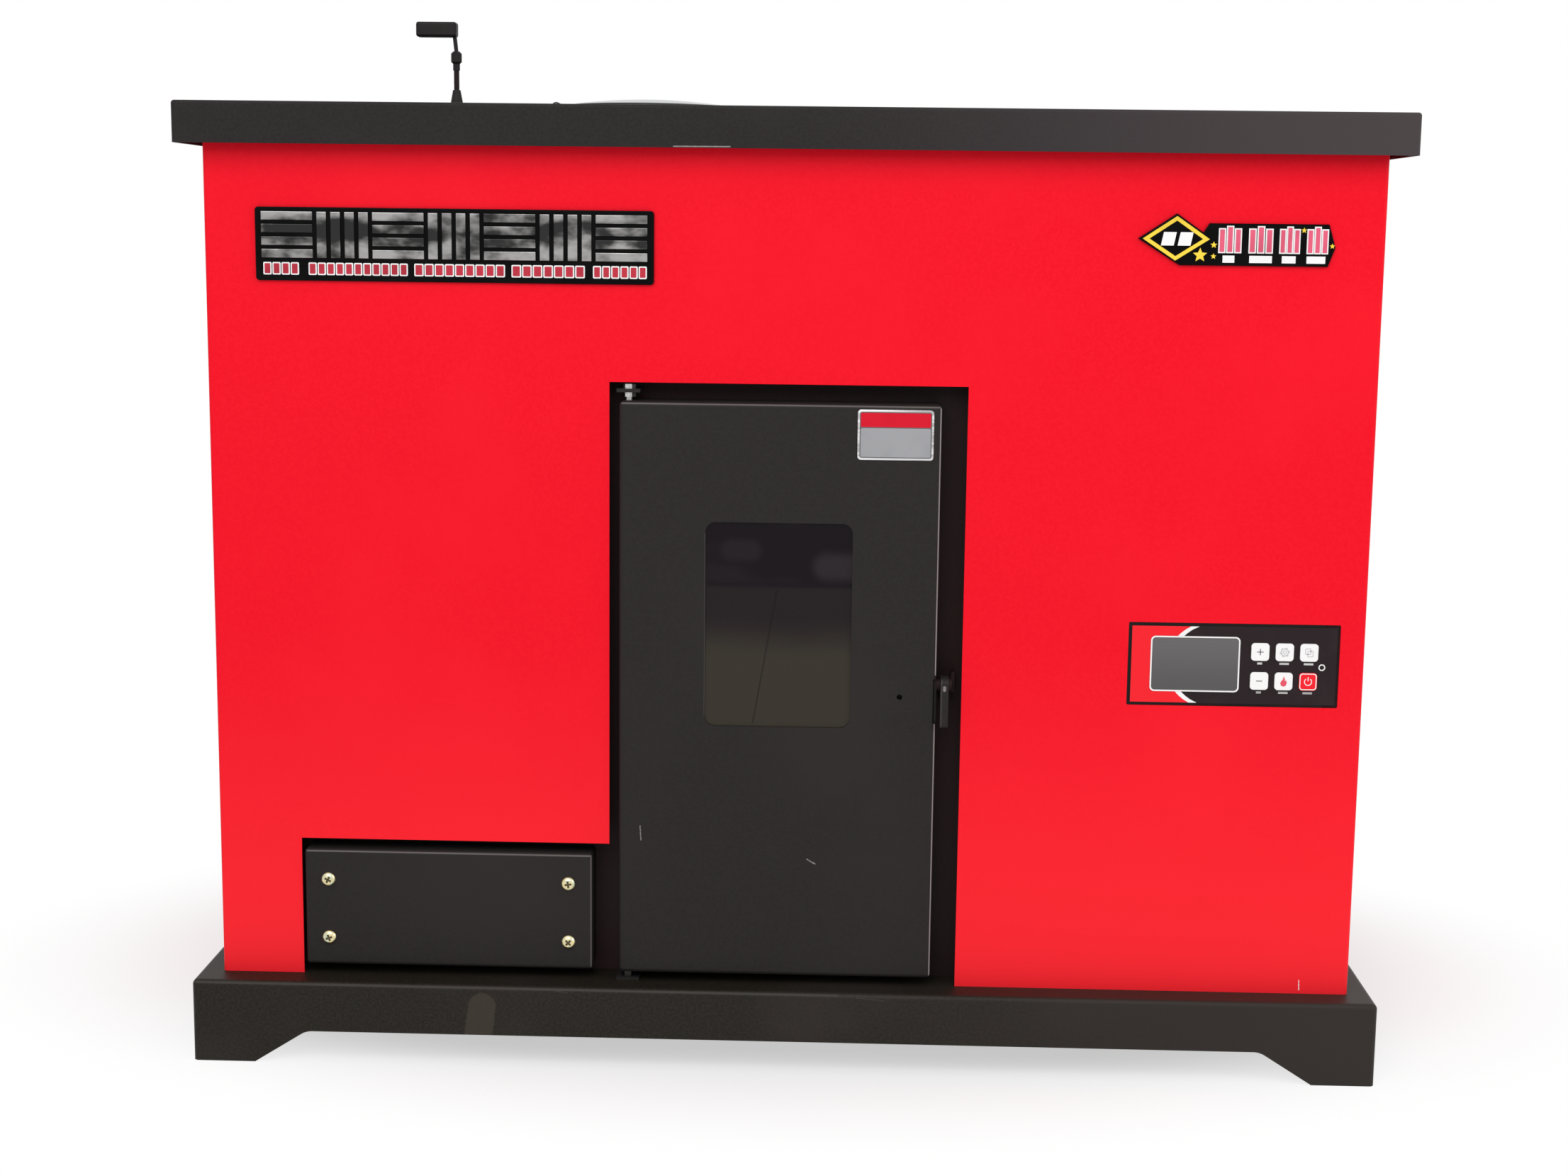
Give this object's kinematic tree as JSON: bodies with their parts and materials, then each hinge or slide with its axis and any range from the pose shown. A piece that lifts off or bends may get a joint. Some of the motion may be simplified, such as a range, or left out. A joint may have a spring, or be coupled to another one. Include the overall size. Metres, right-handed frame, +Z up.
{
  "type": "boiler_stove",
  "caption": "Automatic pellet boiler stove in a red sheet-metal cabinet with a black glazed door, top cover, plinth, controller, hopper lid and stirrer crank",
  "frame": {"origin": "on the floor, under the middle of the outer box", "axes": "+X to the right of the front, +Y to the back, +Z up"},
  "size_m": [1.042, 0.6474, 0.9237],
  "materials": {
    "red_paint": "satin powder coat",
    "black_paint": "fine-textured matt paint",
    "plinth_paint": "fine-textured matt paint",
    "black_steel": "heat-proof black paint",
    "galvanised": "zinc-coated sheet",
    "boiler_steel": "bare welded plate",
    "bright_steel": "turned steel",
    "cast_iron": "raw casting",
    "yellow_zinc": "yellow zinc plating",
    "motor_metal": "die cast",
    "window_glass": "sooted heat-proof glass",
    "rope": "woven glass rope",
    "lid_steel": "pressed sheet",
    "gloss_black": "glossy",
    "matt_black": "matt",
    "overlay": "printed overlay",
    "lcd": "dark grey display",
    "white_plastic": "satin",
    "red_plastic": "satin",
    "label_metal": "printed plate"
  },
  "bodies": {
    "cabinet": {"plinth": "plinth_paint", "front_panel": "red_paint", "left_side_panel": "red_paint", "right_side_panel": "red_paint", "rear_panel": "red_paint", "top_cover": "black_paint", "cabinet_frame": "black_steel", "inner_front_plate": "black_steel", "boiler_outer_shell": "boiler_steel", "firebox_shell": "boiler_steel", "smoke_tubes": "boiler_steel", "smoke_box": "galvanised", "flow_pipe": "bright_steel", "return_pipe": "bright_steel", "hinge_brackets": "black_steel", "hinge_pins": "bright_steel", "latch_keeper": "black_steel", "access_cover": "black_paint", "access_cover_screws": "yellow_zinc", "hopper": "galvanised", "fill_collar": "black_paint", "fill_lid_hinge": "black_paint", "fill_lid_pin": "bright_steel", "stirrer_gland": "black_paint", "auger_tube": "galvanised", "auger_motor": "motor_metal", "burn_pot": "cast_iron", "air_duct": "galvanised", "combustion_fan_housing": "galvanised", "combustion_fan_motor": "motor_metal", "exhaust_fan_housing": "galvanised", "exhaust_fan_motor": "motor_metal", "ash_drawer": "galvanised", "control_face": "overlay", "control_housing": "matt_black", "display_glass": "lcd", "left_nameplate": "gloss_black", "right_nameplate": "gloss_black", "power_inlet": "matt_black"},
    "door": {"door_skin": "black_paint", "door_liner": "galvanised", "door_gasket": "rope", "door_glass": "window_glass", "glass_retainer": "galvanised", "door_label_plate": "label_metal", "latch_pivot_bolt": "black_steel"},
    "latch": {"latch_lever": "black_paint"},
    "fill_lid": {"fill_lid": "lid_steel"},
    "stirrer": {"stirrer_shaft": "black_steel", "stirrer_coupling": "black_paint", "stirrer_handle": "matt_black"},
    "auger": {"auger_screw": "bright_steel"},
    "combustion_fan": {"combustion_fan_wheel": "galvanised"},
    "exhaust_fan": {"exhaust_fan_wheel": "bright_steel"},
    "plus_button": {"plus_button": "white_plastic"},
    "settings_button": {"settings_button": "white_plastic"},
    "mode_button": {"mode_button": "white_plastic"},
    "minus_button": {"minus_button": "white_plastic"},
    "flame_button": {"flame_button": "white_plastic"},
    "power_button": {"power_button": "red_plastic"}
  },
  "joints": [
    {"name": "door_hinge", "type": "hinge", "parent": "cabinet", "child": "door", "pos_m": [-0.137, -0.29125, 0.336], "axis": [0, 0, -1], "range_deg": [0, 105]},
    {"name": "latch_pivot", "type": "hinge", "parent": "door", "child": "latch", "pos_m": [0.1383, -0.29425, 0.346], "axis": [-1, 0, 0], "range_deg": [-22, 45]},
    {"name": "fill_lid_hinge", "type": "hinge", "parent": "cabinet", "child": "fill_lid", "pos_m": [-0.2337, -0.01625, 0.8493], "axis": [0, -1, 0], "range_deg": [0, 95]},
    {"name": "stirrer_turn", "type": "hinge", "parent": "cabinet", "child": "stirrer", "pos_m": [-0.322, -0.06625, 0.6], "axis": [0, 0, 1], "continuous": true},
    {"name": "auger_turn", "type": "hinge", "parent": "cabinet", "child": "auger", "pos_m": [-0.3, -0.06625, 0.21], "axis": [1, 0, 0], "continuous": true},
    {"name": "combustion_fan_turn", "type": "hinge", "parent": "cabinet", "child": "combustion_fan", "pos_m": [0.3005, -0.06625, 0.247], "axis": [0, 1, 0], "continuous": true},
    {"name": "exhaust_fan_turn", "type": "hinge", "parent": "cabinet", "child": "exhaust_fan", "pos_m": [0.1625, 0.07375, 0.7225], "axis": [1, 0, 0], "continuous": true},
    {"name": "plus_button_press", "type": "slide", "parent": "cabinet", "child": "plus_button", "axis": [0, 1, 0], "range_m": [0, 0.001], "stiffness_N_per_m": 400},
    {"name": "settings_button_press", "type": "slide", "parent": "cabinet", "child": "settings_button", "axis": [0, 1, 0], "range_m": [0, 0.001], "stiffness_N_per_m": 400},
    {"name": "mode_button_press", "type": "slide", "parent": "cabinet", "child": "mode_button", "axis": [0, 1, 0], "range_m": [0, 0.001], "stiffness_N_per_m": 400},
    {"name": "minus_button_press", "type": "slide", "parent": "cabinet", "child": "minus_button", "axis": [0, 1, 0], "range_m": [0, 0.001], "stiffness_N_per_m": 400},
    {"name": "flame_button_press", "type": "slide", "parent": "cabinet", "child": "flame_button", "axis": [0, 1, 0], "range_m": [0, 0.001], "stiffness_N_per_m": 400},
    {"name": "power_button_press", "type": "slide", "parent": "cabinet", "child": "power_button", "axis": [0, 1, 0], "range_m": [0, 0.001], "stiffness_N_per_m": 400}
  ]
}
